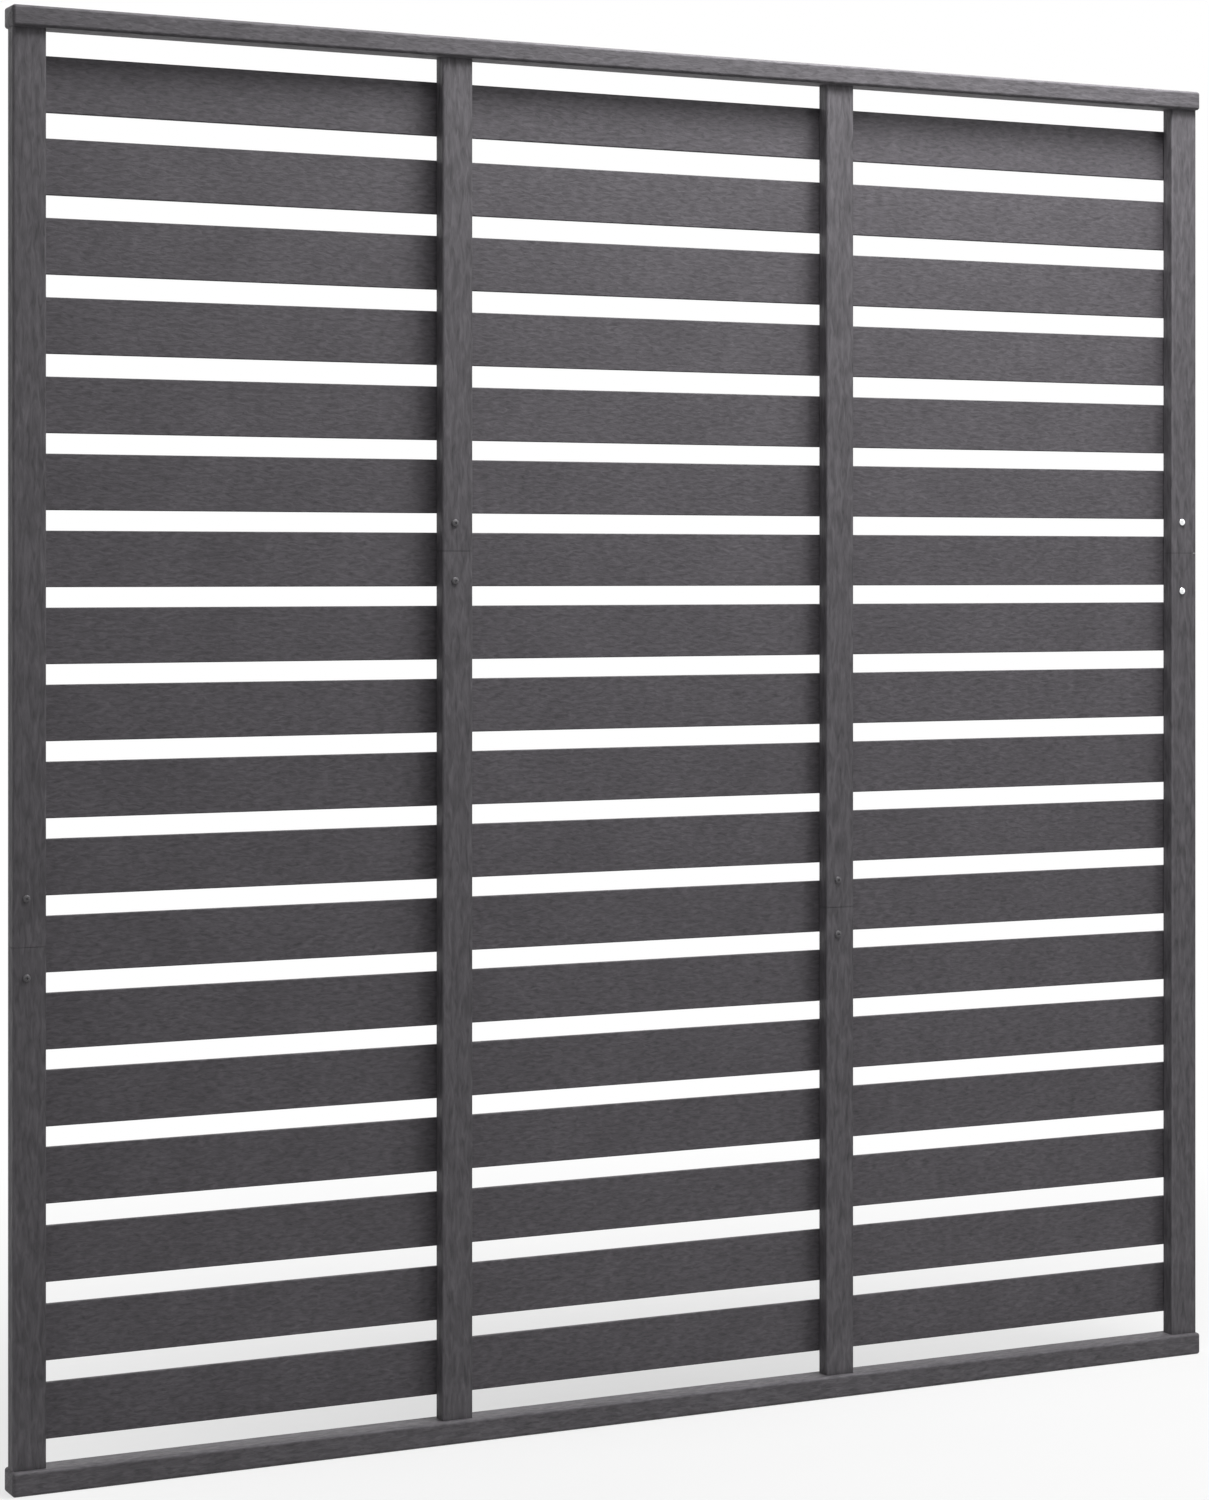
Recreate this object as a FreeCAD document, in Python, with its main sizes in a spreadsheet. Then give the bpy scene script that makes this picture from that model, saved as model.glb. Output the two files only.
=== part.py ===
import FreeCAD, Part
import Sketcher
import math
import os

# Garden privacy screen: full-length slats screwed to the backs of four hollow posts, between a top and a
# bottom rail. Each post is a long and a short length butted over a hidden channel, turned end for end from
# one post to the next. X runs along the panel, the front faces -Y, +Z is up, and the origin is under the
# middle of the bottom rail.

os.makedirs("parts", exist_ok=True)
doc = FreeCAD.newDocument("PrivacyScreen")
sheet = doc.addObject("Spreadsheet::Sheet", "Sizes")

sizes = {
    # whole panel
    "panel_height": 1800,
    "rail_length": 1740,
    # rails: hollow, rounded, lying flat
    "rail_depth": 38,
    "top_rail_height": 26,
    "bottom_rail_height": 30,
    "rail_wall": 3,
    "rail_corner": 4,
    # rail end caps
    "cap_plate": 4.5,
    "cap_edge": 2.4,
    "cap_spigot": 14,
    "cap_wall": 2,
    # posts
    "post_width": 42,
    "post_depth": 23,
    "post_wall": 2.5,
    "post_corner": 3,
    "end_overhang": 2,
    "front_overhang": 7,
    "long_post_length": 1112,
    "joint_gap": 0.4,
    # channel inside each post joint, and the plugs in the post ends
    "channel_length": 200,
    "channel_wall": 2,
    "channel_bend": 1.5,
    "plug_floor": 4,
    "plug_wall": 2.5,
    "plug_lead": 1,
    "plug_beyond_screw": 10,
    "fit_clearance": 0.3,
    # screws across the post joints: how far above and below the butted ends
    "joint_screw_offset": 4,
    "left_end_screw_above": 59,
    "left_end_screw_below": 37,
    "left_middle_screw_above": 36,
    "left_middle_screw_below": 38,
    "right_middle_screw_above": 37,
    "right_middle_screw_below": 36,
    "right_end_screw_above": 44,
    "right_end_screw_below": 54,
    "joint_screw_core": 4.2,
    "joint_screw_head": 9.5,
    "joint_screw_crown": 5.5,
    "joint_screw_rim": 1.1,
    "joint_screw_rise": 2.6,
    "joint_screw_length": 8,
    "screw_clearance": 0.2,
    # screws down through the plugs into the rails
    "rail_screw_core": 4.2,
    "rail_screw_head": 8,
    "rail_screw_head_height": 3,
    "rail_screw_length": 14,
    # slats
    "slat_count": 18,
    "slat_height": 69,
    "slat_thickness": 6.2,
    "slat_edge": 1,
    "slat_end_inset": 8,
    "top_gap": 30,
    "bottom_gap": 29.4,
    "first_gap_extra": 6.4,
    "wide_gap_extra": 2.8,
    "wide_gap_count": 3,
    "last_gap_extra": 1.6,
    "last_gap_count": 3,
    # screws through the slats into the backs of the posts
    "slat_screw_rise": 20,
    "slat_screw_core": 3.4,
    "slat_screw_head": 8,
    "slat_screw_head_height": 1.5,
    "slat_screw_length": 13,
}
for row, (name, number) in enumerate(sizes.items(), start=1):
    sheet.set(f"A{row}", name)
    sheet.set(f"B{row}", str(number))
    sheet.setAlias(f"B{row}", name)
doc.recompute()

HALF_TURN = 180

# Small screws and their holes have flat sides, which keeps the model light.
HEX_SIDES = 6
HEAD_SIDES = 12

# Rules: each is worked out from the sheet, in the sheet's own expression language.
end_post_x = "(Sizes.rail_length / 2 - Sizes.end_overhang - Sizes.post_width / 2)"
post_y = "(Sizes.front_overhang + Sizes.post_depth / 2 - Sizes.rail_depth / 2)"
post_front_y = "(Sizes.front_overhang - Sizes.rail_depth / 2)"
post_back_y = "(Sizes.front_overhang + Sizes.post_depth - Sizes.rail_depth / 2)"
posts_top_z = "(Sizes.panel_height - Sizes.top_rail_height)"
post_space = f"({posts_top_z} - Sizes.bottom_rail_height)"
short_post_length = f"({post_space} - Sizes.long_post_length - Sizes.joint_gap)"
cavity_width = "(Sizes.post_width - 2 * Sizes.post_wall)"
cavity_depth = "(Sizes.post_depth - 2 * Sizes.post_wall)"
insert_width = f"({cavity_width} - 2 * Sizes.fit_clearance)"
insert_depth = f"({cavity_depth} - 2 * Sizes.fit_clearance)"
joint_hole = "(Sizes.joint_screw_core + 2 * Sizes.screw_clearance)"
rail_hole = "(Sizes.rail_screw_core + 2 * Sizes.screw_clearance)"
slat_hole = "(Sizes.slat_screw_core + 2 * Sizes.screw_clearance)"
slat_length = "(Sizes.rail_length - 2 * Sizes.end_overhang - 2 * Sizes.slat_end_inset)"
rail_body_length = "(Sizes.rail_length - 2 * Sizes.cap_plate)"

# name of each post, and whether its short length is the lower one
post_names = ("left_end", "left_middle", "right_middle", "right_end")
short_below = {"left_end": True, "left_middle": False, "right_middle": True, "right_end": False}


def value(rule):
    """A rule's number in millimetres."""
    result = sheet.evalExpression(rule)
    return float(getattr(result, "Value", result))


slat_count = round(value("Sizes.slat_count"))
wide_gap_count = round(value("Sizes.wide_gap_count"))
last_gap_count = round(value("Sizes.last_gap_count"))


def post_x(index):
    return f"({index} * 2 / {len(post_names) - 1} - 1) * {end_post_x}"


def lower_length(name):
    return short_post_length if short_below[name] else "Sizes.long_post_length"


def upper_length(name):
    return "Sizes.long_post_length" if short_below[name] else short_post_length


def seam_z(name):
    """Height of the middle of the butted ends."""
    return f"(Sizes.bottom_rail_height + {lower_length(name)} + Sizes.joint_gap / 2)"


def gap_extras(index):
    """How far the wider gaps above a slat, the first few and the last few, move it down in all."""
    first = min(index, 1)
    wide = min(max(index - 1, 0), wide_gap_count)
    last = max(index - (slat_count - 1 - last_gap_count), 0)
    return (
        f"({first} * Sizes.first_gap_extra + {wide} * Sizes.wide_gap_extra"
        f" + {last} * Sizes.last_gap_extra)"
    )


def slat_z(index):
    """Height of a slat's lower edge, counted from the top."""
    gap = (
        f"({post_space} - Sizes.top_gap - Sizes.bottom_gap - {slat_count} * Sizes.slat_height"
        f" - {gap_extras(slat_count - 1)}) / {slat_count - 1}"
    )
    return (
        f"({posts_top_z} - Sizes.top_gap - {index + 1} * Sizes.slat_height"
        f" - {index} * {gap} - {gap_extras(index)})"
    )


def new_body(label, x="0", y="0", z="0", turn=None):
    body = doc.addObject("PartDesign::Body", label)
    body.Label = label
    if turn:
        body.Placement.Rotation = turn
    for axis, rule in zip("xyz", (x, y, z)):
        body.setExpression(f"Placement.Base.{axis}", rule)
    return body


def new_sketch(body, role, name, offset="0"):
    """A sketch on one of the body's origin planes, moved along the plane's normal."""
    sketch = body.newObject("Sketcher::SketchObject", name)
    plane = next(feature for feature in body.Origin.OriginFeatures if feature.Role == role)
    sketch.AttachmentSupport = [(plane, "")]
    sketch.MapMode = "FlatFace"
    sketch.setExpression("AttachmentOffset.Base.z", offset)
    return sketch


def hold(sketch, constraint, rule):
    """Adds a dimension and ties it to its rule."""
    index = sketch.addConstraint(constraint)
    sketch.setExpression(f"Constraints[{index}]", rule)


def add_outline(sketch, corners):
    """A closed outline of straight lines. Each corner is a pair of rules, for its two coordinates."""
    points = [FreeCAD.Vector(value(u), value(v), 0) for u, v in corners]
    first = sketch.GeometryCount
    count = len(points)
    for index in range(count):
        sketch.addGeometry(Part.LineSegment(points[index], points[(index + 1) % count]), False)
    for index in range(count):
        following = first + (index + 1) % count
        sketch.addConstraint(Sketcher.Constraint("Coincident", first + index, 2, following, 1))
    for index, (u, v) in enumerate(corners):
        point = points[index]
        line = first + index
        hold(sketch, Sketcher.Constraint("DistanceX", -1, 1, line, 1, point.x), u)
        hold(sketch, Sketcher.Constraint("DistanceY", -1, 1, line, 1, point.y), v)


def add_rectangle(sketch, low_u, low_v, high_u, high_v):
    add_outline(sketch, [(low_u, low_v), (high_u, low_v), (high_u, high_v), (low_u, high_v)])


def add_centred_rectangle(sketch, width, height):
    add_rectangle(sketch, f"-{width} / 2", f"-{height} / 2", f"{width} / 2", f"{height} / 2")


def add_hexagon(sketch, u, v, across_flats):
    corners = []
    for side in range(HEX_SIDES):
        angle = math.radians(360 / HEX_SIDES * side)
        reach = f"{across_flats} / {2 * math.cos(math.pi / HEX_SIDES)}"
        corners.append((f"{u} + {math.cos(angle)} * {reach}", f"{v} + {math.sin(angle)} * {reach}"))
    add_outline(sketch, corners)


def pad(body, sketch, length, midplane=False, reverse=False):
    feature = body.newObject("PartDesign::Pad", f"{sketch.Name}_pad")
    feature.Profile = sketch
    feature.setExpression("Length", length)
    feature.Midplane = midplane
    feature.Reversed = reverse
    doc.recompute()
    return feature


def cut(body, sketch, reach=None, reverse=False):
    """A pocket to a given reach, or through the whole body both ways."""
    before = body.Shape.Volume
    feature = body.newObject("PartDesign::Pocket", f"{sketch.Name}_pocket")
    feature.Profile = sketch
    feature.Reversed = reverse
    if reach:
        feature.setExpression("Length", reach)
    else:
        feature.Type = "ThroughAll"
        feature.Midplane = True
    doc.recompute()
    if body.Shape.Volume >= before:
        raise RuntimeError(f"{sketch.Name} cut nothing")
    return feature


def edges_along(feature, direction, keep=lambda edge: True):
    """Names of a feature's straight edges that run along a direction."""
    names = []
    for index, edge in enumerate(feature.Shape.Edges, start=1):
        straight = edge.Curve.TypeId == "Part::GeomLine"
        if straight and edge.Curve.Direction.cross(direction).Length < 1e-6 and keep(edge):
            names.append(f"Edge{index}")
    return names


def round_edges(body, feature, names, radius):
    fillet = body.newObject("PartDesign::Fillet", f"{feature.Name}_round")
    fillet.Base = (feature, names)
    fillet.setExpression("Radius", radius)
    doc.recompute()
    return fillet


def chamfer_edges(body, feature, names, reach):
    chamfer = body.newObject("PartDesign::Chamfer", f"{feature.Name}_chamfer")
    chamfer.Base = (feature, names)
    chamfer.setExpression("Size", reach)
    doc.recompute()
    return chamfer


along_x = FreeCAD.Vector(1, 0, 0)
along_y = FreeCAD.Vector(0, 1, 0)
along_z = FreeCAD.Vector(0, 0, 1)
nodes = []


def repeat_at_posts(body, sketch, hole):
    """Repeats a hole made behind the left end post at every other post."""
    row = body.newObject("PartDesign::LinearPattern", f"{hole.Name}_row")
    row.Originals = [hole]
    row.Direction = (sketch, ["H_Axis"])
    row.setExpression("Length", f"2 * {end_post_x}")
    row.Occurrences = len(post_names)
    body.Tip = row
    doc.recompute()


def make_slat(index):
    """A full-length board, its long edges eased, with one screw hole behind each post."""
    label = f"slat_{index + 1:02d}"
    body = new_body(label, y=post_back_y, z=slat_z(index))
    section = new_sketch(body, "YZ_Plane", f"{label}_section")
    add_rectangle(section, "0", "0", "Sizes.slat_thickness", "Sizes.slat_height")
    board = pad(body, section, slat_length, midplane=True)
    eased = chamfer_edges(body, board, edges_along(board, along_x), "Sizes.slat_edge")
    drilling = new_sketch(body, "XZ_Plane", f"{label}_hole")
    add_hexagon(drilling, f"-{end_post_x}", "Sizes.slat_screw_rise", slat_hole)
    repeat_at_posts(body, drilling, cut(body, drilling))
    nodes.append(body)


def polygon_corners(sides, across_flats, height):
    """A regular outline about the Z axis, from a corner on the X axis round to the same corner."""
    reach = across_flats / 2 / math.cos(math.pi / sides)
    corners = []
    for side in range(sides + 1):
        angle = math.radians(360 / sides * side)
        corners.append(FreeCAD.Vector(reach * math.cos(angle), reach * math.sin(angle), height))
    return corners


def flat_face(corners):
    return Part.Face(Part.makePolygon(corners))


def hexagon_bar(across_flats, length):
    """A six-sided bar up from the origin."""
    return flat_face(polygon_corners(HEX_SIDES, across_flats, 0)).extrude(along_z * length)


def with_shank(head, core, length):
    """A screw from its head, which sits on the origin. Its shank runs down -Z."""
    shank = hexagon_bar(core, length)
    shank.translate(along_z * -length)
    return head.fuse(shank).removeSplitter()


def hex_screw(core, head, head_height, length):
    return with_shank(hexagon_bar(head, head_height), core, length)


def pan_screw(core, head, crown, rim, rise, length):
    """A screw with a raised head: an upright rim, then a slope up to the flat crown."""
    under = polygon_corners(HEAD_SIDES, head, 0)
    edge = polygon_corners(HEAD_SIDES, head, rim)
    top = polygon_corners(HEAD_SIDES, crown, rise)
    faces = [flat_face(under), flat_face(top)]
    for low, high in ((under, edge), (edge, top)):
        for side in range(HEAD_SIDES):
            faces.append(flat_face([low[side], low[side + 1], high[side + 1], high[side], low[side]]))
    return with_shank(Part.Solid(Part.Shell(faces)), core, length)


to_front = FreeCAD.Rotation(along_x, 90)
to_back = FreeCAD.Rotation(along_x, -90)
upside_down = FreeCAD.Rotation(along_y, HALF_TURN)


def placed(shape, x, y, z, turn=FreeCAD.Rotation()):
    copy = shape.copy()
    copy.Placement = FreeCAD.Placement(FreeCAD.Vector(x, y, z), turn)
    return copy


def keep_group(label, solids):
    """Several equal solids as one named object."""
    group = doc.addObject("Part::Feature", label)
    group.Label = label
    group.Shape = Part.makeCompound(solids)
    return group


def joint_screw_places(name):
    """Centres of a post's two joint screws on its front face."""
    index = post_names.index(name)
    x = value(f"{post_x(index)} - Sizes.joint_screw_offset")
    above = value(f"{seam_z(name)} + Sizes.{name}_screw_above")
    below = value(f"{seam_z(name)} - Sizes.{name}_screw_below")
    return [(x, value(post_front_y), z) for z in (above, below)]


def slat_screw_places(name):
    """Centres of the screws behind one post, on the backs of the slats."""
    x = value(post_x(post_names.index(name)))
    y = value(f"{post_back_y} + Sizes.slat_thickness")
    heights = [value(f"{slat_z(index)} + Sizes.slat_screw_rise") for index in range(slat_count)]
    return [(x, y, z) for z in heights]


def make_post_drillings(name):
    """Everything that is drilled into one post: slat screw holes at the back, joint screw holes in front."""
    wall = value("2 * Sizes.post_wall")
    back = value(post_back_y)
    bit = hexagon_bar(value(slat_hole), wall)
    holes = [placed(bit, x, back + wall / 2, z, to_front) for x, _, z in slat_screw_places(name)]
    bit = hexagon_bar(value(joint_hole), wall)
    holes += [placed(bit, x, y - wall / 2, z, to_back) for x, y, z in joint_screw_places(name)]
    return keep_group(f"{name}_drillings", holes)


def drilled(label, body, drillings):
    body.Label = f"{label}_blank"
    finished = doc.addObject("Part::Cut", label)
    finished.Label = label
    finished.Base = body
    finished.Tool = drillings
    doc.recompute()
    nodes.append(finished)


def make_post_length(label, name, length, foot, drillings):
    """One hollow length of a post, its four long edges rounded."""
    body = new_body(f"{label}_blank", x=post_x(post_names.index(name)), y=post_y, z=foot)
    outline = new_sketch(body, "XY_Plane", f"{label}_outline")
    add_centred_rectangle(outline, "Sizes.post_width", "Sizes.post_depth")
    bar = pad(body, outline, length)
    round_edges(body, bar, edges_along(bar, along_z), "Sizes.post_corner")
    cavity = new_sketch(body, "XY_Plane", f"{label}_cavity")
    add_centred_rectangle(cavity, cavity_width, cavity_depth)
    cut(body, cavity)
    drilled(label, body, drillings)


def make_joint_channel(name):
    """A bent channel, open to the back, that fills the post on both sides of its joint."""
    label = f"{name}_joint_channel"
    foot = f"{seam_z(name)} - Sizes.channel_length / 2"
    body = new_body(f"{label}_blank", x=post_x(post_names.index(name)), y=post_y, z=foot)
    outline = new_sketch(body, "XY_Plane", f"{label}_outline")
    add_centred_rectangle(outline, insert_width, insert_depth)
    bar = pad(body, outline, "Sizes.channel_length")
    front_edges = edges_along(bar, along_z, lambda edge: edge.CenterOfMass.y < 0)
    round_edges(body, bar, front_edges, "Sizes.channel_bend")
    hollow = new_sketch(body, "XY_Plane", f"{label}_hollow")
    side = f"({insert_width} / 2 - Sizes.channel_wall)"
    front = f"(Sizes.channel_wall - {insert_depth} / 2)"
    add_rectangle(hollow, f"-{side}", front, side, f"{insert_depth} / 2")
    cut(body, hollow)
    wall = value("2 * (Sizes.post_wall + Sizes.fit_clearance + Sizes.channel_wall)")
    bit = hexagon_bar(value(joint_hole), wall)
    holes = [placed(bit, x, y - wall / 4, z, to_back) for x, y, z in joint_screw_places(name)]
    drilled(label, body, keep_group(f"{label}_drillings", holes))


def make_joint_screws(name):
    screw = pan_screw(
        value("Sizes.joint_screw_core"),
        value("Sizes.joint_screw_head"),
        value("Sizes.joint_screw_crown"),
        value("Sizes.joint_screw_rim"),
        value("Sizes.joint_screw_rise"),
        value("Sizes.joint_screw_length"),
    )
    solids = [placed(screw, x, y, z, to_front) for x, y, z in joint_screw_places(name)]
    nodes.append(keep_group(f"{name}_joint_screws", solids))


def make_slat_screws(name):
    screw = hex_screw(
        value("Sizes.slat_screw_core"),
        value("Sizes.slat_screw_head"),
        value("Sizes.slat_screw_head_height"),
        value("Sizes.slat_screw_length"),
    )
    solids = [placed(screw, x, y, z, to_back) for x, y, z in slat_screw_places(name)]
    nodes.append(keep_group(f"{name}_slat_screws", solids))


def make_plug(name, end):
    """A moulded cup in a post's end. A screw through its floor holds the rail, a slat screw the post."""
    label = f"{name}_{end}_plug"
    at_top = end == "top"
    if at_top:
        screw_height = f"({posts_top_z} - {slat_z(0)} - Sizes.slat_screw_rise)"
    else:
        screw_height = f"({slat_z(slat_count - 1)} + Sizes.slat_screw_rise - Sizes.bottom_rail_height)"
    length = f"({screw_height} + Sizes.plug_beyond_screw)"
    body = new_body(
        label,
        x=post_x(post_names.index(name)),
        y=post_y,
        z=posts_top_z if at_top else "Sizes.bottom_rail_height",
        turn=upside_down if at_top else None,
    )
    outline = new_sketch(body, "XY_Plane", f"{label}_outline")
    add_centred_rectangle(outline, insert_width, insert_depth)
    block = pad(body, outline, length)
    mouth = value(length)
    rim = []
    for number, edge in enumerate(block.Shape.Edges, start=1):
        if abs(edge.CenterOfMass.z - mouth) < 1e-6:
            rim.append(f"Edge{number}")
    chamfer_edges(body, block, rim, "Sizes.plug_lead")
    hollow = new_sketch(body, "XY_Plane", f"{label}_hollow", length)
    wide = f"({insert_width} - 2 * Sizes.plug_wall)"
    add_centred_rectangle(hollow, wide, f"({insert_depth} - 2 * Sizes.plug_wall)")
    cut(body, hollow, f"{length} - Sizes.plug_floor")
    floor_hole = new_sketch(body, "XY_Plane", f"{label}_floor_hole")
    add_hexagon(floor_hole, "0", "0", rail_hole)
    cut(body, floor_hole, "Sizes.plug_floor", reverse=True)
    back_hole = new_sketch(body, "XZ_Plane", f"{label}_back_hole")
    add_hexagon(back_hole, "0", screw_height, slat_hole)
    cut(body, back_hole, f"{insert_depth} / 2")
    nodes.append(body)


def make_rail(end):
    """A hollow rail lying flat, its long edges rounded, with a screw hole at each post in its inner wall."""
    label = f"{end}_rail"
    tall = f"Sizes.{label}_height"
    at_top = end == "top"
    body = new_body(label, z=posts_top_z if at_top else "0")
    outline = new_sketch(body, "YZ_Plane", f"{label}_outline")
    add_rectangle(outline, "-Sizes.rail_depth / 2", "0", "Sizes.rail_depth / 2", tall)
    bar = pad(body, outline, rail_body_length, midplane=True)
    round_edges(body, bar, edges_along(bar, along_x), "Sizes.rail_corner")
    cavity = new_sketch(body, "YZ_Plane", f"{label}_cavity")
    side = "(Sizes.rail_depth / 2 - Sizes.rail_wall)"
    add_rectangle(cavity, f"-{side}", "Sizes.rail_wall", side, f"{tall} - Sizes.rail_wall")
    cut(body, cavity)
    drilling = new_sketch(body, "XY_Plane", f"{label}_drilling", "0" if at_top else tall)
    add_hexagon(drilling, f"-{end_post_x}", post_y, rail_hole)
    repeat_at_posts(body, drilling, cut(body, drilling, "Sizes.rail_wall", reverse=at_top))
    nodes.append(body)


def make_rail_screws(end):
    """The screws that hold one rail, their heads on the floors of the plugs."""
    screw = hex_screw(
        value("Sizes.rail_screw_core"),
        value("Sizes.rail_screw_head"),
        value("Sizes.rail_screw_head_height"),
        value("Sizes.rail_screw_length"),
    )
    if end == "top":
        z = value(f"{posts_top_z} - Sizes.plug_floor")
        turn = upside_down
    else:
        z = value("Sizes.bottom_rail_height + Sizes.plug_floor")
        turn = FreeCAD.Rotation()
    y = value(post_y)
    solids = [placed(screw, value(post_x(index)), y, z, turn) for index in range(len(post_names))]
    nodes.append(keep_group(f"{end}_rail_screws", solids))


def make_cap(end, side):
    """A rail's end cap: a plate with the rail's outline and an eased rim, and a hollow spigot."""
    label = f"{end}_rail_{side}_cap"
    tall = f"Sizes.{end}_rail_height"
    sign = "-" if side == "left" else ""
    body = new_body(
        label,
        x=f"{sign}{rail_body_length} / 2",
        z=f"Sizes.panel_height - {tall} / 2" if end == "top" else f"{tall} / 2",
        turn=FreeCAD.Rotation(along_z, HALF_TURN) if side == "left" else None,
    )
    outline = new_sketch(body, "YZ_Plane", f"{label}_outline")
    add_centred_rectangle(outline, "Sizes.rail_depth", tall)
    plate = pad(body, outline, "Sizes.cap_plate")
    rounded = round_edges(body, plate, edges_along(plate, along_x), "Sizes.rail_corner")
    rim = []
    for number, edge in enumerate(rounded.Shape.Edges, start=1):
        if abs(edge.CenterOfMass.x - value("Sizes.cap_plate")) < 1e-6:
            rim.append(f"Edge{number}")
    chamfer_edges(body, rounded, rim, "Sizes.cap_edge")
    spigot = new_sketch(body, "YZ_Plane", f"{label}_spigot")
    wide = "(Sizes.rail_depth - 2 * Sizes.rail_wall - 2 * Sizes.fit_clearance)"
    high = f"({tall} - 2 * Sizes.rail_wall - 2 * Sizes.fit_clearance)"
    add_centred_rectangle(spigot, wide, high)
    add_centred_rectangle(spigot, f"({wide} - 2 * Sizes.cap_wall)", f"({high} - 2 * Sizes.cap_wall)")
    pad(body, spigot, "Sizes.cap_spigot", reverse=True)
    nodes.append(body)


for slat in range(slat_count):
    make_slat(slat)
for post in post_names:
    drillings = make_post_drillings(post)
    upper_foot = f"{seam_z(post)} + Sizes.joint_gap / 2"
    make_post_length(f"{post}_post_lower", post, lower_length(post), "Sizes.bottom_rail_height", drillings)
    make_post_length(f"{post}_post_upper", post, upper_length(post), upper_foot, drillings)
    make_joint_channel(post)
    make_joint_screws(post)
    make_slat_screws(post)
    for post_end in ("top", "bottom"):
        make_plug(post, post_end)
for rail_end in ("top", "bottom"):
    make_rail(rail_end)
    make_rail_screws(rail_end)
    for rail_side in ("left", "right"):
        make_cap(rail_end, rail_side)

doc.recompute()
for item in doc.Objects:
    if "Invalid" in item.State or "Error" in item.State:
        raise RuntimeError(f"{item.Label} did not compute: {item.State}")
for node in nodes:
    if node.Shape.isNull() or not node.Shape.isValid():
        raise RuntimeError(f"{node.Label} has no valid shape")
for node in nodes:
    node.Shape.exportStep(f"parts/{node.Label}.step")
print(len(nodes), "nodes written")
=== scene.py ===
import bpy
import bmesh
import math
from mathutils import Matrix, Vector


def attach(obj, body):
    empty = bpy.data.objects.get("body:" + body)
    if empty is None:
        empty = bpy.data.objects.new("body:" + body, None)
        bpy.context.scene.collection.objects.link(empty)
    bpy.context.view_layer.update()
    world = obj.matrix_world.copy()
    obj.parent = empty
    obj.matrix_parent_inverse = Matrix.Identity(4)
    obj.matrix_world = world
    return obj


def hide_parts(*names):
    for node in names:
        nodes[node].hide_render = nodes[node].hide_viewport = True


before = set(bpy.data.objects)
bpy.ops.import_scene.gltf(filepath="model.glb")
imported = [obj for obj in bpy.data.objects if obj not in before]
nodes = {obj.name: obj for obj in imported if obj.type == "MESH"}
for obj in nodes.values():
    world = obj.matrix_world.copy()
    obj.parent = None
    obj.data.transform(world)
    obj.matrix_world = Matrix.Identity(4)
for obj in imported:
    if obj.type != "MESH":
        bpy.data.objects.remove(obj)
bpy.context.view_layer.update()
posts = ("left_end", "left_middle", "right_middle", "right_end")
bpy.ops.object.select_all(action="DESELECT")
print("frame loaded with", len(nodes), "nodes")


# camera: level, with the picture shifted down instead of the camera tilted
cameraPlace = {
    "at": (-2.0586, -4.0553, 1.1168),
    "turnDegrees": -26.151,
    "lens": 82.69,
    "sensor": 36,
    "shiftY": -0.1194,
    "clipEnd": 60,
}


def makeCamera(s):
    turned = (math.radians(90), 0, math.radians(s["turnDegrees"]))
    bpy.ops.object.camera_add(location=s["at"], rotation=turned)
    camera = bpy.context.object
    camera.name = "productCamera"
    camera.data.lens = s["lens"]
    camera.data.sensor_width = s["sensor"]
    camera.data.sensor_fit = "AUTO"
    camera.data.shift_y = s["shiftY"]
    camera.data.clip_end = s["clipEnd"]
    bpy.context.scene.camera = camera
    camera.select_set(False)


makeCamera(cameraPlace)
print("camera placed")


# materials

def newNode(tree, kind, place, numbers=None, **settings):
    made = tree.nodes.new(kind)
    made.location = place
    for name, setting in settings.items():
        setattr(made, name, setting)
    for socket, number in (numbers or {}).items():
        made.inputs[socket].default_value = number
    return made


def newMaterial(name):
    material = bpy.data.materials.new(name)
    material.use_nodes = True
    tree = material.node_tree
    tree.nodes.clear()
    surface = newNode(tree, "ShaderNodeBsdfPrincipled", (900, 0))
    output = newNode(tree, "ShaderNodeOutputMaterial", (1200, 0))
    tree.links.new(surface.outputs["BSDF"], output.inputs["Surface"])
    return material, tree, surface


def mathNode(tree, operation, place, first, second):
    # each input is a number or another node's socket
    made = newNode(tree, "ShaderNodeMath", place, operation=operation)
    for socket, value in zip(made.inputs, (first, second)):
        if isinstance(value, (int, float)):
            socket.default_value = value
        else:
            tree.links.new(value, socket)
    return made.outputs["Value"]


def mapRange(tree, place, value, low, high, fromLow=0.25, fromHigh=0.75):
    made = newNode(tree, "ShaderNodeMapRange", place)
    tree.links.new(value, made.inputs["Value"])
    made.inputs["From Min"].default_value = fromLow
    made.inputs["From Max"].default_value = fromHigh
    made.inputs["To Min"].default_value = low
    made.inputs["To Max"].default_value = high
    return made.outputs["Result"]


def nearestHeight(tree, place, heights):
    # distance up or down to the nearest of some heights
    split = newNode(tree, "ShaderNodeSeparateXYZ", (-700, 600))
    tree.links.new(place.outputs["Object"], split.inputs["Vector"])
    nearest = None
    for step, height in enumerate(heights):
        away = mathNode(tree, "SUBTRACT", (-500, 600 - 200 * step), split.outputs["Z"], height)
        away = mathNode(tree, "ABSOLUTE", (-300, 600 - 200 * step), away, 0)
        nearest = away if nearest is None else mathNode(tree, "MINIMUM", (-100, 600), nearest, away)
    return nearest


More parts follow.
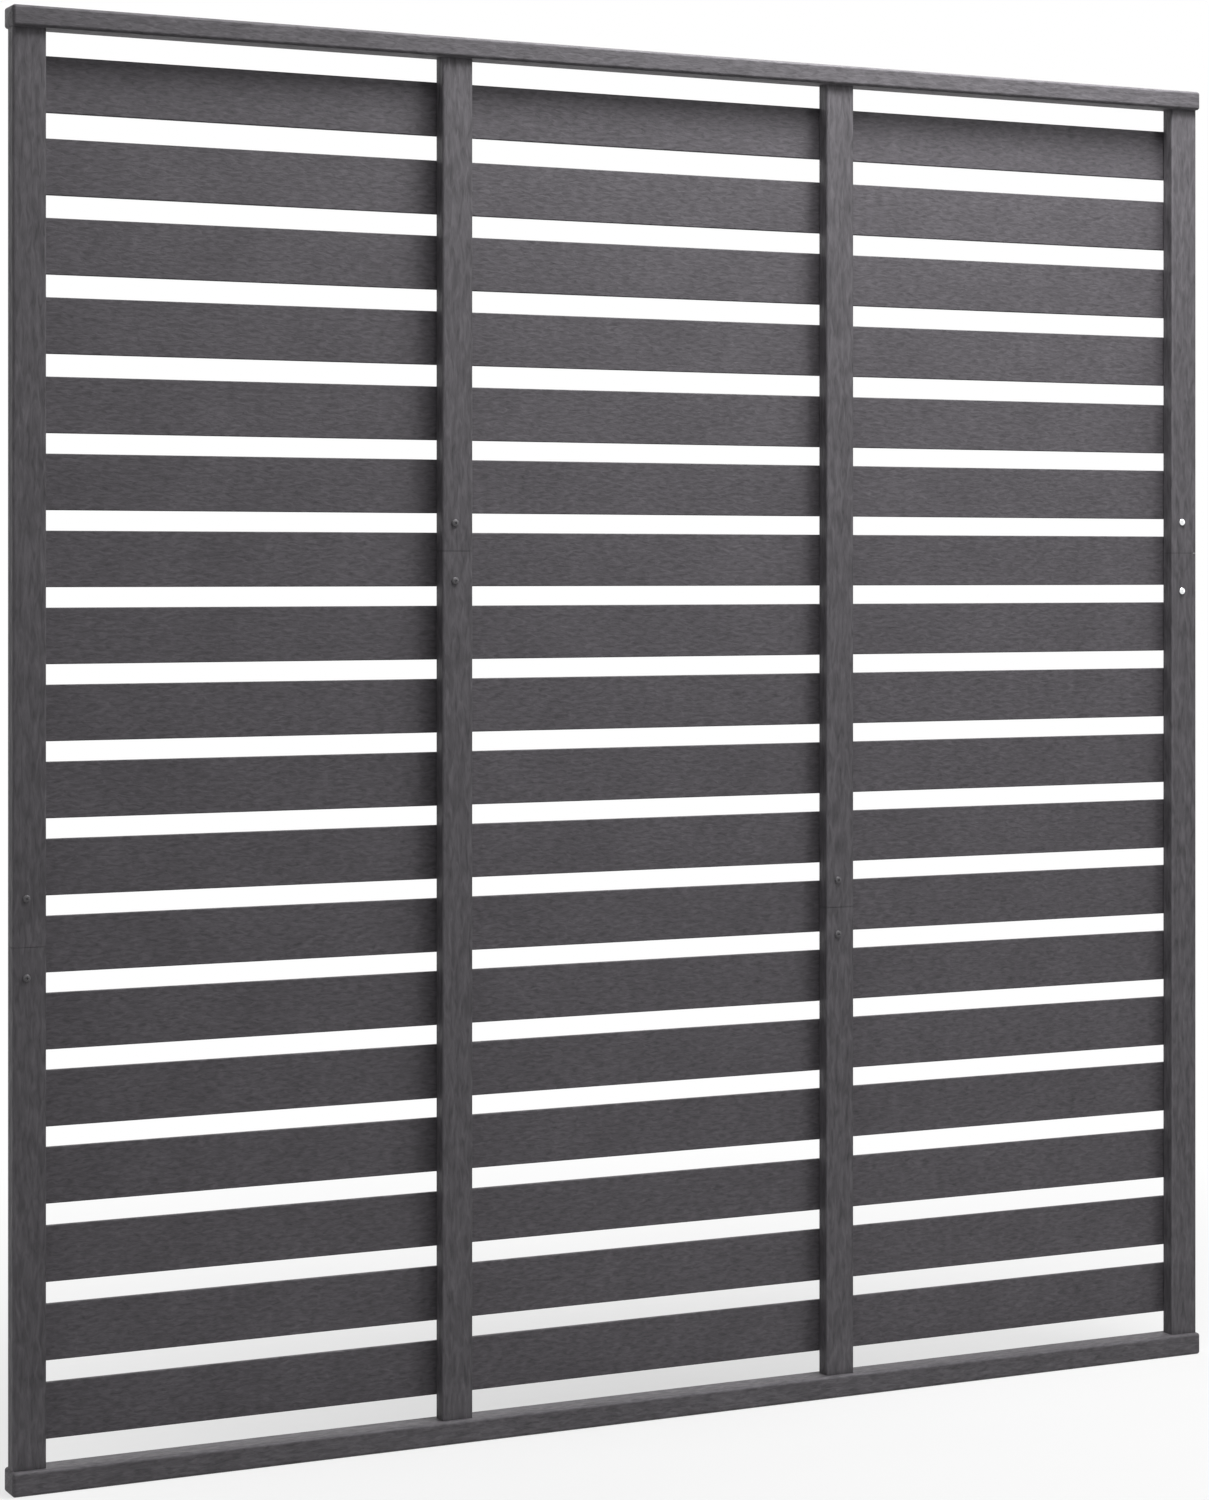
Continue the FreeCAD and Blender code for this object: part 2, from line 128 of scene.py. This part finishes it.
# embossed wood grain on moulded profiles, with painted highlight and shade on the rounded edges and
# painted shade along the post seams; sizes in metres
slatFinish = {
    "colour": (0.0807, 0.0752, 0.0830),
    "streakWidth": 0.0036,
    "streakLength": 0.0125,
    "streakContrast": 0.34,
    "streakDetail": 3,
    "streakDistortion": 0.6,
    "wander": 0.003,
    "wanderSize": 0.02,
    "poreFineness": 2.6,     # times as fine as the streaks
    "poreStart": 0.55,
    "poreFull": 0.75,
    "poreDepth": 0.12,
    "cloudSize": 0.09,
    "cloudContrast": 0.10,
    "reliefDepth": 0.0006,
    "reliefStrength": 0.6,
    "roughness": 0.60,
    "roughnessChange": 0.08,
    "specular": 0.25,
    "edgeHighlight": -0.35,       # above 0 a painted highlight on the rounded edges, below 0 the rounded edges are darker
    "sideLightAndShade": 0,           # above 0 two opposite edges are paler than the others: a painted highlight on them and painted shade on the other two
}
railFinish = dict(
    slatFinish,
    colour=(0.0869, 0.0818, 0.0891),
    streakWidth=0.0034,
    streakLength=0.014,
    streakContrast=0.36,
    wander=0.002,
    edgeHighlight=0,
    # painted highlight on the top front edge and painted shade on the bottom front edge
    sideLightAndShade=-0.30,
)
postFinish = dict(
    slatFinish,
    colour=(0.0837, 0.0788, 0.0859),
    streakWidth=0.0056,
    streakLength=0.026,
    streakContrast=0.40,
    wander=0.004,
    wanderSize=0.04,
    # a faint painted highlight on the posts' rounded corners
    edgeHighlight=0.05,
    # painted highlight on the front-left corner and painted shade on the front-right corner
    sideLightAndShade=0.40,
    # painted shade along the seam between the two lengths
    seamReach=0.0007,
    unshadedBeyond=0.0018,
    seamRise=0.0006,         # most of the painted shade lies above the seam
)
# how dark the painted shade along each post's seam is
seamShades = {
    "left_end": 0.97,
    "left_middle": 0.82,
    "right_middle": 0.84,
    "right_end": 0.93,
}


def seamHeight(post):
    # where the lower length ends
    lower = nodes[post + "_post_lower"].data
    return round(max(vertex.co.z for vertex in lower.vertices), 4)


def makeGrained(name, along, s, seam=None, seamShade=1):
    material, tree, surface = newMaterial(name)
    link = tree.links.new
    place = newNode(tree, "ShaderNodeTexCoord", (-2200, 0))

    # the grain lines wander a little to each side
    drift = newNode(tree, "ShaderNodeTexNoise", (-2000, -200),
                    {"Scale": 1 / s["wanderSize"], "Detail": 2})
    link(place.outputs["Object"], drift.inputs["Vector"])
    centred = newNode(tree, "ShaderNodeVectorMath", (-1800, -200), operation="SUBTRACT")
    link(drift.outputs["Color"], centred.inputs[0])
    centred.inputs[1].default_value = (0.5, 0.5, 0.5)
    scaled = newNode(tree, "ShaderNodeVectorMath", (-1600, -200), {"Scale": s["wander"]},
                     operation="SCALE")
    link(centred.outputs["Vector"], scaled.inputs["Vector"])
    wandering = newNode(tree, "ShaderNodeVectorMath", (-1400, 0), operation="ADD")
    link(place.outputs["Object"], wandering.inputs[0])
    link(scaled.outputs["Vector"], wandering.inputs[1])

    stretch = newNode(tree, "ShaderNodeMapping", (-1200, 0))
    stretch.inputs["Scale"].default_value = [
        1 / s["streakLength"] if axis == along else 1 / s["streakWidth"] for axis in "XYZ"
    ]
    link(wandering.outputs["Vector"], stretch.inputs["Vector"])
    streaks = newNode(tree, "ShaderNodeTexNoise", (-900, 100),
                      {"Scale": 1, "Detail": s["streakDetail"], "Distortion": s["streakDistortion"]})
    pores = newNode(tree, "ShaderNodeTexNoise", (-900, -200), {"Scale": s["poreFineness"], "Detail": 1})
    clouds = newNode(tree, "ShaderNodeTexNoise", (-900, -500),
                     {"Scale": 1 / s["cloudSize"], "Detail": 3})
    link(stretch.outputs["Vector"], streaks.inputs["Vector"])
    link(stretch.outputs["Vector"], pores.inputs["Vector"])
    link(place.outputs["Object"], clouds.inputs["Vector"])

    # on a rounded edge the normal lies between two axes: the product tells the edges apart
    facing = newNode(tree, "ShaderNodeSeparateXYZ", (-900, -800))
    link(place.outputs["Normal"], facing.inputs["Vector"])
    across = [axis for axis in "XYZ" if axis != along]
    first, second = [facing.outputs[axis] for axis in across]
    # edge paints a highlight on every rounded edge, or darkens them below 0; side paints a highlight on
    # one pair of opposite edges and shade on the other pair
    side = mathNode(tree, "MULTIPLY", (-700, -800), first, second)
    edge = mathNode(tree, "ABSOLUTE", (-500, -900), side, 0)
    edge = mathNode(tree, "MULTIPLY", (-300, -900), edge, 2 * s["edgeHighlight"])
    side = mathNode(tree, "MULTIPLY", (-300, -700), side, 2 * s["sideLightAndShade"])
    corner = mathNode(tree, "ADD", (-100, -800), edge, side)

    light = mapRange(tree, (-600, 100), streaks.outputs["Fac"], 1 - s["streakContrast"],
                     1 + s["streakContrast"])
    dark = mapRange(tree, (-600, -200), pores.outputs["Fac"], 0, s["poreDepth"], s["poreStart"],
                    s["poreFull"])
    mottle = mapRange(tree, (-600, -500), clouds.outputs["Fac"], 1 - s["cloudContrast"],
                      1 + s["cloudContrast"])
    level = mathNode(tree, "SUBTRACT", (-300, 0), light, dark)
    level = mathNode(tree, "MULTIPLY", (-100, 0), level, mottle)
    # the painted edge highlight and shade go into the colour
    level = mathNode(tree, "ADD", (100, 0), level, corner)
    # painted shade along the seam, most of it just above
    if seam is not None:
        away = nearestHeight(tree, place, [seam + s["seamRise"]])
        seamShading = mapRange(tree, (100, 600), away, seamShade, 1, s["seamReach"], s["unshadedBeyond"])
        level = mathNode(tree, "MULTIPLY", (250, 300), level, seamShading)
    colour = newNode(tree, "ShaderNodeVectorMath", (400, 100), operation="SCALE")
    colour.inputs["Vector"].default_value = s["colour"]
    link(level, colour.inputs["Scale"])
    link(colour.outputs["Vector"], surface.inputs["Base Color"])

    rough = mapRange(tree, (100, -300), streaks.outputs["Fac"], s["roughness"] + s["roughnessChange"],
                     s["roughness"] - s["roughnessChange"])
    link(rough, surface.inputs["Roughness"])
    surface.inputs["Specular IOR Level"].default_value = s["specular"]

    height = mathNode(tree, "SUBTRACT", (100, -600), streaks.outputs["Fac"], dark)
    bump = newNode(tree, "ShaderNodeBump", (600, -500),
                   {"Strength": s["reliefStrength"], "Distance": s["reliefDepth"]})
    link(height, bump.inputs["Height"])
    link(bump.outputs["Normal"], surface.inputs["Normal"])
    return material


# coated or plated metal and plain plastic, finely speckled; the channel metal gets painted shade where
# it shows in the seams
dullZinc = {
    "colour": (0.085, 0.082, 0.087),
    "roughness": 0.55,
    "roughnessChange": 0.12,
    "speckSize": 0.0009,
    "colourChange": 0.20,
    "metallic": 0.4,
    "reliefDepth": 0.00005,
    "reliefStrength": 0.2,
}
brightZinc = dict(
    dullZinc,
    colour=(0.86, 0.87, 0.88),
    roughness=0.22,
    roughnessChange=0.08,
    colourChange=0.06,
    metallic=1.0,
)
millAluminium = dict(
    dullZinc,
    colour=(0.60, 0.60, 0.61),
    roughness=0.35,
    speckSize=0.004,
    colourChange=0.10,
    metallic=1.0,
    shadeReach=0.004,         # painted shade where it shows in the seams
    unshadedBeyond=0.007,
    shadeLevel=0.04,
)
blackPlastic = dict(
    dullZinc,
    colour=(0.030, 0.030, 0.031),
    roughness=0.55,
    speckSize=0.0015,
    colourChange=0.20,
    metallic=0.0,
)


def makeSpeckled(name, s, shadeHeights=()):
    material, tree, surface = newMaterial(name)
    link = tree.links.new
    place = newNode(tree, "ShaderNodeTexCoord", (-900, 0))
    specks = newNode(tree, "ShaderNodeTexNoise", (-700, 0),
                     {"Scale": 1 / s["speckSize"], "Detail": 4})
    link(place.outputs["Object"], specks.inputs["Vector"])
    level = mapRange(tree, (-400, 100), specks.outputs["Fac"], 1 - s["colourChange"],
                     1 + s["colourChange"])
    # painted shade near the given heights, where the channel shows in the seams
    if shadeHeights:
        nearest = nearestHeight(tree, place, shadeHeights)
        seamShading = mapRange(tree, (100, 600), nearest, s["shadeLevel"], 1, s["shadeReach"], s["unshadedBeyond"])
        level = mathNode(tree, "MULTIPLY", (300, 400), level, seamShading)
    colour = newNode(tree, "ShaderNodeVectorMath", (-100, 100), operation="SCALE")
    colour.inputs["Vector"].default_value = s["colour"]
    link(level, colour.inputs["Scale"])
    link(colour.outputs["Vector"], surface.inputs["Base Color"])
    rough = mapRange(tree, (-400, -200), specks.outputs["Fac"], s["roughness"] - s["roughnessChange"],
                     s["roughness"] + s["roughnessChange"])
    link(rough, surface.inputs["Roughness"])
    bump = newNode(tree, "ShaderNodeBump", (300, -400),
                   {"Strength": s["reliefStrength"], "Distance": s["reliefDepth"]})
    link(specks.outputs["Fac"], bump.inputs["Height"])
    link(bump.outputs["Normal"], surface.inputs["Normal"])
    surface.inputs["Metallic"].default_value = s["metallic"]
    return material


slatGrain = makeGrained("slatGrain", "X", slatFinish)
railGrain = makeGrained("railGrain", "X", railFinish)
postGrains = {}
for post in posts:
    postGrains[post] = makeGrained(post + "Grain", "Z", postFinish, seamHeight(post), seamShades[post])
dullScrewMetal = makeSpeckled("dullScrewMetal", dullZinc)
brightScrewMetal = makeSpeckled("brightScrewMetal", brightZinc)
# the channel gets painted shade at the seam heights
seamHeights = sorted({seamHeight(post) for post in posts})
channelMetal = makeSpeckled("channelMetal", millAluminium, seamHeights)
plugPlastic = makeSpeckled("plugPlastic", blackPlastic)


def finishFor(node):
    if node.startswith("slat_"):
        return slatGrain
    if node.endswith("rail_screws"):
        return dullScrewMetal
    if "_rail" in node:
        return railGrain
    if "_post_" in node:
        return postGrains[node.split("_post_")[0]]
    if node.endswith("_joint_channel"):
        return channelMetal
    if node.endswith("_plug"):
        return plugPlastic
    return brightScrewMetal if node == "right_end_joint_screws" else dullScrewMetal


for name in nodes:
    mesh = nodes[name].data
    mesh.materials.clear()
    mesh.materials.append(finishFor(name))
print("materials made")


# shared modelling steps
modelling = {
    "smoothAngle": 35,
    "mergeReach": 1e-6,
    "squareOn": 0.9,         # the share of a direction above which it counts as along an axis
}


def nodeBox(mesh):
    corners = [vertex.co for vertex in mesh.vertices]
    low = Vector([min(corner[i] for corner in corners) for i in range(3)])
    high = Vector([max(corner[i] for corner in corners) for i in range(3)])
    return low, high


def looseBoxes(node):
    # one box for each separate solid in a node
    shape = bmesh.new()
    shape.from_mesh(nodes[node].data)
    bmesh.ops.remove_doubles(shape, verts=shape.verts, dist=modelling["mergeReach"])
    boxes = []
    waiting = set(shape.verts)
    while waiting:
        found = [waiting.pop()]
        for vertex in found:
            for edge in vertex.link_edges:
                other = edge.other_vert(vertex)
                if other in waiting:
                    waiting.remove(other)
                    found.append(other)
        low = Vector([min(vertex.co[i] for vertex in found) for i in range(3)])
        high = Vector([max(vertex.co[i] for vertex in found) for i in range(3)])
        boxes.append((low, high))
    shape.free()
    return sorted(boxes, key=lambda box: box[0].z)


def pickFaces(mesh, test):
    # in edit mode: selects only the faces that pass the test
    shape = bmesh.from_edit_mesh(mesh)
    for face in shape.faces:
        face.select_set(False)
    for face in shape.faces:
        if test(face):
            face.select_set(True)
    shape.select_flush(True)
    bmesh.update_edit_mesh(mesh)


def pickEdges(mesh, test):
    shape = bmesh.from_edit_mesh(mesh)
    for edge in shape.edges:
        edge.select_set(False)
    for edge in shape.edges:
        if test(edge):
            edge.select_set(True)
    bmesh.update_edit_mesh(mesh)


def settle(piece, name, finish):
    # puts the place into the mesh and gives the piece its name and finish
    bpy.ops.object.select_all(action="DESELECT")
    piece.select_set(True)
    bpy.context.view_layer.objects.active = piece
    bpy.ops.object.transform_apply(location=True, rotation=True, scale=True)
    bpy.ops.object.shade_smooth_by_angle(angle=math.radians(modelling["smoothAngle"]))
    piece.name = name
    piece.data.name = name
    piece.data.materials.clear()
    piece.data.materials.append(finish)
    piece.select_set(False)


# round-headed screws with a cross recess
jointScrew = {
    "headWidth": 0.0095,
    "headRise": 0.0026,
    "rimHeight": 0.0009,
    "shankWidth": 0.0042,
    "pointLength": 0.0015,
    "recessArm": 0.0013,
    "recessSpan": 0.0052,
    "recessDepth": 0.0013,
    "recessTaper": 0.6,
    "pointTaper": 0.3,
    "turnStep": 37,          # degrees from one screw's recess to the next
    "sides": 32,
    "rings": 16,
}
slatScrew = dict(
    jointScrew,
    headWidth=0.008,
    headRise=0.0015,
    rimHeight=0.0005,
    shankWidth=0.0034,
    recessArm=0.0011,
    recessSpan=0.0044,
    recessDepth=0.0008,
    sides=20,
    rings=10,
)


def cutRecess(screw, s, turn):
    # one arm of the cross, narrower at its floor
    bpy.ops.mesh.primitive_cube_add(size=1, location=(0, 0, s["headRise"]), rotation=(0, 0, turn))
    arm = bpy.context.object
    arm.scale = (s["recessSpan"], s["recessArm"], 2 * s["recessDepth"])
    bpy.ops.object.transform_apply(location=True, rotation=True, scale=True)
    bpy.ops.object.mode_set(mode="EDIT")
    pickFaces(arm.data, lambda face: face.normal.z < -modelling["squareOn"])
    taper = (s["recessTaper"], s["recessTaper"], 1)
    bpy.ops.transform.resize(value=taper, center_override=(0, 0, 0))
    bpy.ops.object.mode_set(mode="OBJECT")
    arm.select_set(False)
    bpy.context.view_layer.objects.active = screw
    cut = screw.modifiers.new("recess", "BOOLEAN")
    cut.operation = "DIFFERENCE"
    cut.solver = "EXACT"
    cut.object = arm
    bpy.ops.object.modifier_apply(modifier=cut.name)
    bpy.data.objects.remove(arm)


def makeScrew(s, length):
    # made upright: the head's underside at z = 0, the shank below it
    bpy.ops.mesh.primitive_uv_sphere_add(segments=s["sides"], ring_count=s["rings"],
                                         radius=s["headWidth"] / 2)
    screw = bpy.context.object
    domeRise = s["headRise"] - s["rimHeight"]
    bpy.ops.object.mode_set(mode="EDIT")
    bpy.ops.mesh.select_all(action="SELECT")
    bpy.ops.mesh.bisect(plane_co=(0, 0, 0), plane_no=(0, 0, 1), use_fill=True, clear_inner=True)
    bpy.ops.mesh.select_all(action="SELECT")
    flatten = 2 * domeRise / s["headWidth"]
    bpy.ops.transform.resize(value=(1, 1, flatten), center_override=(0, 0, 0))
    bpy.ops.transform.translate(value=(0, 0, s["rimHeight"]))
    pickFaces(screw.data, lambda face: face.normal.z < -modelling["squareOn"])
    bpy.ops.mesh.extrude_region_move(TRANSFORM_OT_translate={"value": (0, 0, -s["rimHeight"])})
    bpy.ops.mesh.inset(thickness=(s["headWidth"] - s["shankWidth"]) / 2)
    straight = length - s["pointLength"]
    bpy.ops.mesh.extrude_region_move(TRANSFORM_OT_translate={"value": (0, 0, -straight)})
    bpy.ops.mesh.extrude_region_move(TRANSFORM_OT_translate={"value": (0, 0, -s["pointLength"])})
    taper = (s["pointTaper"], s["pointTaper"], 1)
    bpy.ops.transform.resize(value=taper, center_override=(0, 0, 0))
    bpy.ops.mesh.select_all(action="SELECT")
    bpy.ops.mesh.normals_make_consistent(inside=False)
    bpy.ops.object.mode_set(mode="OBJECT")
    screw.select_set(False)
    cutRecess(screw, s, 0)
    cutRecess(screw, s, math.radians(90))
    return screw


def driveScrews(pattern, node, headToBack, s, finish):
    # a copy at each solid of the node, joined to one piece
    turned = math.radians(-90 if headToBack else 90)
    copies = []
    for number, (low, high) in enumerate(looseBoxes(node)):
        bpy.ops.object.select_all(action="DESELECT")
        pattern.select_set(True)
        bpy.context.view_layer.objects.active = pattern
        bpy.ops.object.duplicate(linked=False)
        copied = bpy.context.object
        seat = high.y - s["headRise"] if headToBack else low.y + s["headRise"]
        recessTurn = number * s["turnStep"] % 90
        copied.rotation_euler = (turned, math.radians(recessTurn), 0)
        copied.location = ((low.x + high.x) / 2, seat, (low.z + high.z) / 2)
        copies.append(copied)
    bpy.ops.object.select_all(action="DESELECT")
    for copied in copies:
        copied.select_set(True)
    bpy.context.view_layer.objects.active = copies[0]
    bpy.ops.object.transform_apply(location=True, rotation=True, scale=True)
    bpy.ops.object.join()
    piece = bpy.context.object
    settle(piece, node + ".round_heads", finish)
    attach(piece, "root")
    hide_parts(node)


def screwLength(node, s):
    low, high = looseBoxes(node)[0]
    return high.y - low.y - s["headRise"]


jointPattern = makeScrew(jointScrew, screwLength("left_end_joint_screws", jointScrew))
for post in posts:
    bright = post == "right_end"
    metal = brightScrewMetal if bright else dullScrewMetal
    driveScrews(jointPattern, post + "_joint_screws", False, jointScrew, metal)
bpy.data.objects.remove(jointPattern)
slatPattern = makeScrew(slatScrew, screwLength("left_end_slat_screws", slatScrew))
for post in posts:
    driveScrews(slatPattern, post + "_slat_screws", True, slatScrew, dullScrewMetal)
bpy.data.objects.remove(slatPattern)
print("screws driven")


# rail caps, rounded all round
railCap = {
    "cornerRadius": 0.004,
    "cornerSteps": 8,
    "endRadius": 0.004,
    "endSteps": 6,
    "spigotStep": 0.0033,
}


def runsAlong(edge):
    # true for an edge along the rail
    run = edge.verts[0].co - edge.verts[1].co
    return abs(run.normalized().x) > modelling["squareOn"]


def makeCap(rail, side, s):
    node = f"{rail}_{side}_cap"
    capLow, capHigh = nodeBox(nodes[node].data)
    railLow, railHigh = nodeBox(nodes[rail].data)
    outward = 1 if side == "right" else -1
    outer = capHigh.x if outward > 0 else capLow.x
    inner = railHigh.x if outward > 0 else railLow.x
    tip = capLow.x if outward > 0 else capHigh.x
    middle = (railLow + railHigh) / 2
    bpy.ops.mesh.primitive_cube_add(size=1, location=((outer + inner) / 2, middle.y, middle.z))
    cap = bpy.context.object
    cap.scale = (abs(outer - inner), railHigh.y - railLow.y, railHigh.z - railLow.z)
    bpy.ops.object.transform_apply(location=True, rotation=True, scale=True)
    bpy.ops.object.mode_set(mode="EDIT")
    pickEdges(cap.data, runsAlong)
    bpy.ops.mesh.bevel(offset=s["cornerRadius"], segments=s["cornerSteps"], profile=0.5)
    pickFaces(cap.data, lambda face: face.normal.x * outward > modelling["squareOn"])
    bpy.ops.mesh.bevel(offset=s["endRadius"], segments=s["endSteps"], profile=0.5)
    pickFaces(cap.data, lambda face: face.normal.x * outward < -modelling["squareOn"])
    bpy.ops.mesh.inset(thickness=s["spigotStep"])
    bpy.ops.mesh.extrude_region_move(TRANSFORM_OT_translate={"value": (tip - inner, 0, 0)})
    bpy.ops.mesh.select_all(action="SELECT")
    bpy.ops.mesh.normals_make_consistent(inside=False)
    bpy.ops.object.mode_set(mode="OBJECT")
    settle(cap, node + ".rounded", railGrain)
    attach(cap, "root")
    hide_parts(node)


for rail in ("top_rail", "bottom_rail"):
    for side in ("left", "right"):
        makeCap(rail, side, railCap)
print("rail caps made")


# floor, world and lamps
studio = {
    "floorSize": 40,
    "floorColour": (0.74, 0.74, 0.74, 1),
    "floorRoughness": 0.9,
    "shadowReach": 2.2,      # beyond this the floor is plain white to the eye
    "shadowShare": 0.45,
    "worldStrength": 0.06,
}
lamps = {
    "keyLamp": {"at": (2.6, -2.6, 3.8), "aim": (0, 0, 1.2), "size": (1, 1), "watts": 46},
    "stripLamp": {"at": (0.3, -0.8, 3.2), "aim": (0.3, 0, 1.2), "size": (1.6, 0.5), "watts": 50},
    "nearLamp": {"at": (0.8, -0.5, 3.0), "aim": (0.6, 0, 1.2), "size": (0.6, 0.4), "watts": 38},
    "rightLamp": {"at": (4.4, -2.2, 1.6), "aim": (0, 0, 1), "size": (2.5, 2.5), "watts": 16},
    "leftLamp": {"at": (-4.4, -0.5, 1.9), "aim": (0, 0, 1), "size": (2.5, 2), "watts": 19},
    "backLamp": {"at": (0, 3.5, 3.2), "aim": (0, 0, 1), "size": (3, 2), "watts": 48},
}


def seenRays(tree, place):
    # 1 for rays from the eye, from gloss and through glass
    rays = newNode(tree, "ShaderNodeLightPath", place)
    either = mathNode(tree, "MAXIMUM", (place[0] + 200, place[1]), rays.outputs["Is Camera Ray"],
                      rays.outputs["Is Glossy Ray"])
    return mathNode(tree, "MAXIMUM", (place[0] + 400, place[1]), either,
                    rays.outputs["Is Transmission Ray"])


def makeFloor(s):
    bpy.ops.mesh.primitive_plane_add(size=s["floorSize"], location=(0, 0, 0))
    floor = bpy.context.object
    floor.name = "floor"
    material, tree, surface = newMaterial("paleFloor")
    link = tree.links.new
    surface.inputs["Base Color"].default_value = s["floorColour"]
    surface.inputs["Roughness"].default_value = s["floorRoughness"]
    white = newNode(tree, "ShaderNodeEmission", (900, -400),
                    {"Color": (1, 1, 1, 1), "Strength": 1})
    place = newNode(tree, "ShaderNodeTexCoord", (-600, -200))
    away = newNode(tree, "ShaderNodeVectorMath", (-400, -200), operation="LENGTH")
    link(place.outputs["Object"], away.inputs[0])
    share = mapRange(tree, (-200, -200), away.outputs["Value"], 1 - s["shadowShare"], 1, 0,
                     s["shadowReach"])
    share = mathNode(tree, "MULTIPLY", (300, -200), share, seenRays(tree, (-400, 300)))
    mixed = newNode(tree, "ShaderNodeMixShader", (1200, -200))
    link(share, mixed.inputs["Fac"])
    link(surface.outputs["BSDF"], mixed.inputs[1])
    link(white.outputs["Emission"], mixed.inputs[2])
    output = [node for node in tree.nodes if node.type == "OUTPUT_MATERIAL"][0]
    link(mixed.outputs["Shader"], output.inputs["Surface"])
    floor.data.materials.append(material)
    floor.select_set(False)


def makeWorld(s):
    world = bpy.data.worlds.new("whiteStudio")
    bpy.context.scene.world = world
    world.use_nodes = True
    tree = world.node_tree
    link = tree.links.new
    tree.nodes.clear()
    lit = newNode(tree, "ShaderNodeBackground", (200, 0),
                  {"Color": (1, 1, 1, 1), "Strength": s["worldStrength"]})
    white = newNode(tree, "ShaderNodeBackground", (200, -200),
                    {"Color": (1, 1, 1, 1), "Strength": 1})
    choose = newNode(tree, "ShaderNodeMixShader", (500, 0))
    output = newNode(tree, "ShaderNodeOutputWorld", (700, 0))
    link(seenRays(tree, (-400, 200)), choose.inputs["Fac"])
    link(lit.outputs["Background"], choose.inputs[1])
    link(white.outputs["Background"], choose.inputs[2])
    link(choose.outputs["Shader"], output.inputs["Surface"])


def makeLamp(name, s):
    aim = Vector(s["aim"]) - Vector(s["at"])
    turned = aim.to_track_quat("-Z", "Y").to_euler()
    bpy.ops.object.light_add(type="AREA", location=s["at"], rotation=turned)
    lamp = bpy.context.object
    lamp.name = name
    lamp.visible_camera = False
    lamp.data.shape = "RECTANGLE"
    lamp.data.size, lamp.data.size_y = s["size"]
    lamp.data.energy = s["watts"]
    lamp.select_set(False)


makeFloor(studio)
makeWorld(studio)
for name, lamp in lamps.items():
    makeLamp(name, lamp)
bpy.context.scene.view_settings.view_transform = "Standard"
print("studio ready")
